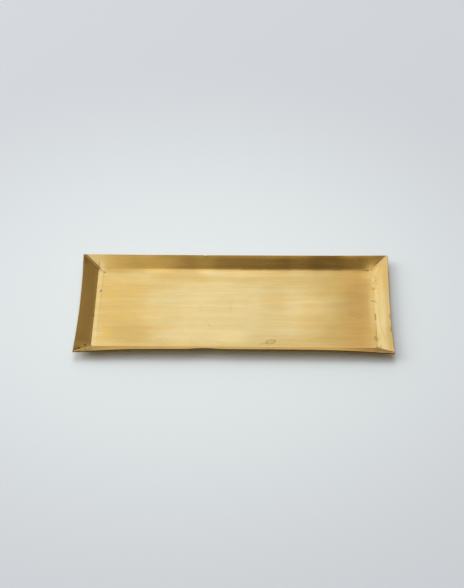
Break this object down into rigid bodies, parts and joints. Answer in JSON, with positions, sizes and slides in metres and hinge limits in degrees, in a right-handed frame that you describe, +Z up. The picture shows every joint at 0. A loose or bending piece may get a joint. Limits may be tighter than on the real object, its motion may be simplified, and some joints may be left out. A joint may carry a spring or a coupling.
{
  "type": "rectangular brass tray",
  "caption": "Shallow rectangular tray folded from brass sheet, with outward-leaning walls and brazed mitred corners.",
  "frame": {"origin": "middle of the tray on the table that it stands on", "axes": "+X along the long walls to the right, +Y to the rear long wall, +Z up"},
  "size_m": [0.301, 0.1212, 0.0111],
  "materials": {
    "brass_sheet": "brushed along the length, unlacquered, lightly tarnished",
    "corner_braze": "filed brazing, matt and heat stained"
  },
  "bodies": {
    "root": {"tray_sheet": "brass_sheet", "rear_left_braze": "corner_braze", "rear_right_braze": "corner_braze", "front_left_braze": "corner_braze", "front_right_braze": "corner_braze"}
  },
  "joints": []
}
